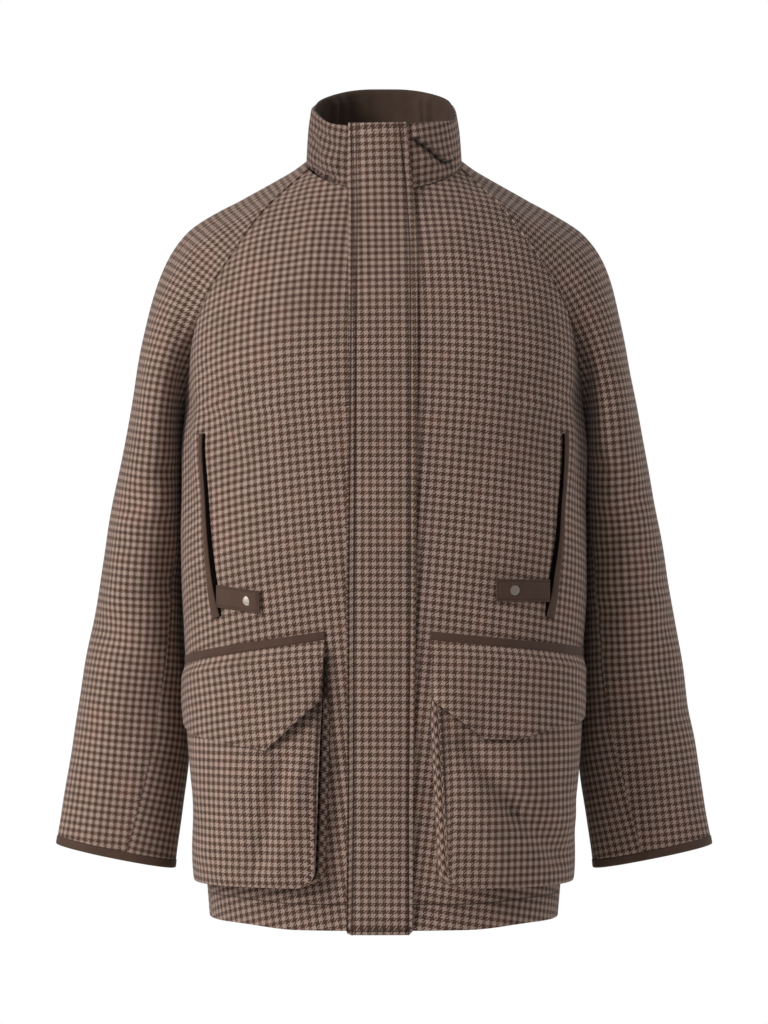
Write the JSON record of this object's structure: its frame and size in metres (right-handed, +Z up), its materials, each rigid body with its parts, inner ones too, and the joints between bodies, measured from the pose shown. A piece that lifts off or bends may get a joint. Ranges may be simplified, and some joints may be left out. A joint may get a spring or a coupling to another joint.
{
  "type": "field coat",
  "caption": "Hollow hip-length field coat of checked wool with raglan sleeves, a standing collar, a storm flap, bellows cargo pockets with pointed flaps, and brown trim.",
  "frame": {"origin": "middle of the neck at the height of the neck points, where the wearer's shoulders carry the coat", "axes": "+Z up along the standing coat, +X to the wearer's left, the front faces -Y"},
  "size_m": [0.7102, 0.2899, 0.9051],
  "materials": {
    "tweed": "napped wool woven in a small brown and taupe check",
    "brown_trim": "smooth brown cloth trim",
    "facing": "soft brown facing cloth",
    "snap_metal": "satin nickel"
  },
  "bodies": {
    "root": {"front_left": "tweed", "front_right": "tweed", "back_left": "tweed", "back_right": "tweed", "sleeve_top_left": "tweed", "sleeve_top_right": "tweed", "sleeve_under_left": "tweed", "sleeve_under_right": "tweed", "collar": "tweed", "collar_facing": "facing", "storm_flap": "tweed", "cargo_pocket_left": "tweed", "cargo_pocket_right": "tweed", "cargo_gusset_left": "tweed", "cargo_gusset_right": "tweed", "cargo_flap_left": "tweed", "cargo_flap_right": "tweed", "cargo_trim_left": "brown_trim", "cargo_trim_right": "brown_trim", "handwarmer_welt_left": "brown_trim", "handwarmer_welt_right": "brown_trim", "handwarmer_tab_left": "brown_trim", "handwarmer_tab_right": "brown_trim", "tab_snap_left": "snap_metal", "tab_snap_right": "snap_metal", "cuff_binding_left": "brown_trim", "cuff_binding_right": "brown_trim"}
  },
  "joints": []
}
